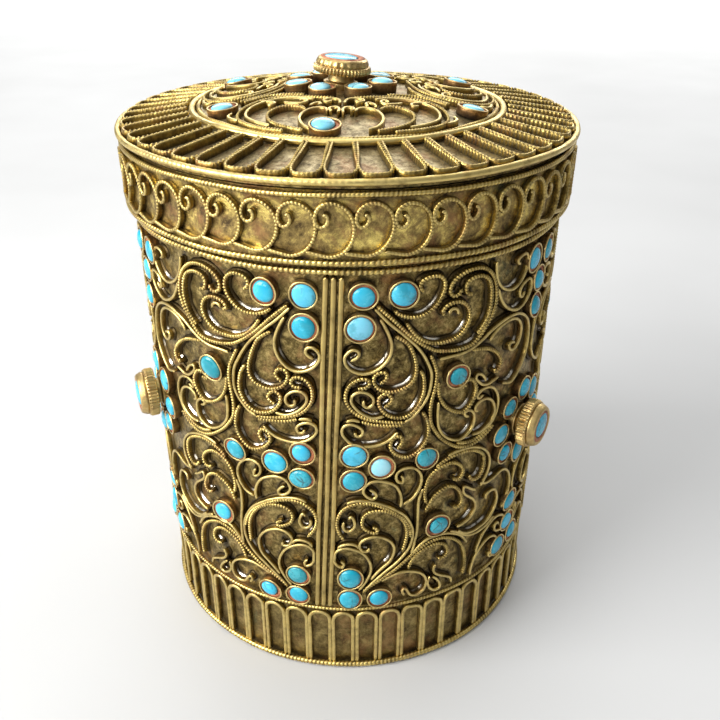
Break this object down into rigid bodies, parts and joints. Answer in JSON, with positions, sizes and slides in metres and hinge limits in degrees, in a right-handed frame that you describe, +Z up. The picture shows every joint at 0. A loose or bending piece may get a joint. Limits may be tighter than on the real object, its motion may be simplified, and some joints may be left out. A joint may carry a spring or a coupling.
{
  "type": "filigree trinket box",
  "caption": "Round lidded metal box with applied wire filigree, small turquoise cabochons and raised side bosses; the domed lid lifts straight off.",
  "frame": {"origin": "middle of the flat underside, on the surface the box stands on", "axes": "+Z up, along the axis of the cylinder; -Y to the front divider"},
  "size_m": [0.0738, 0.0764, 0.0978],
  "materials": {
    "patinated_sheet": "dark aged patina, satin",
    "gilt_wire": "worn gilt brass, polished on the high spots and dark in the recesses",
    "turquoise": "polished cabochon"
  },
  "bodies": {
    "box": {"base_plate": "patinated_sheet", "boss_bezel_back": "gilt_wire", "boss_bezel_left": "gilt_wire", "boss_bezel_right": "gilt_wire", "boss_mount_back": "gilt_wire", "boss_mount_left": "gilt_wire", "boss_mount_right": "gilt_wire", "boss_stone_back": "turquoise", "boss_stone_left": "turquoise", "boss_stone_right": "turquoise", "divider_front_wire_1": "gilt_wire", "divider_front_wire_2": "gilt_wire", "divider_front_wire_3": "gilt_wire", "divider_rear_left_wire_1": "gilt_wire", "divider_rear_left_wire_2": "gilt_wire", "divider_rear_left_wire_3": "gilt_wire", "divider_rear_right_wire_1": "gilt_wire", "divider_rear_right_wire_2": "gilt_wire", "divider_rear_right_wire_3": "gilt_wire", "filigree_panel_back": "gilt_wire", "filigree_panel_left": "gilt_wire", "filigree_panel_right": "gilt_wire", "foot_rope": "gilt_wire", "lid_stop_rope": "gilt_wire", "petal_band": "gilt_wire", "petal_rope": "gilt_wire", "wall": "patinated_sheet"},
    "lid": {"finial_bezel": "gilt_wire", "finial_mount": "gilt_wire", "finial_stone": "turquoise", "lid_outer_stone_1": "turquoise", "lid_outer_stone_2": "turquoise", "lid_outer_stone_3": "turquoise", "lid_outer_stone_4": "turquoise", "lid_outer_stone_5": "turquoise", "lid_outer_stone_6": "turquoise", "lid_ring_stone_1": "turquoise", "lid_ring_stone_2": "turquoise", "lid_ring_stone_3": "turquoise", "lid_ring_stone_4": "turquoise", "lid_ring_stone_5": "turquoise", "lid_ring_stone_6": "turquoise", "lid_ring_stone_7": "turquoise", "lid_ring_stone_8": "turquoise", "lid_skirt": "patinated_sheet", "lid_top": "patinated_sheet", "ray_band": "gilt_wire", "rim_wire": "gilt_wire", "rosette_border_rope": "gilt_wire", "rosette_border_wire": "gilt_wire", "rosette_sheet": "gilt_wire", "scroll_band": "gilt_wire", "skirt_lower_rope": "gilt_wire", "skirt_upper_rope": "gilt_wire"}
  },
  "joints": [
    {"name": "lid_lift", "type": "slide", "parent": "box", "child": "lid", "axis": [0, 0, 1], "range_m": [0, 0.045]}
  ]
}
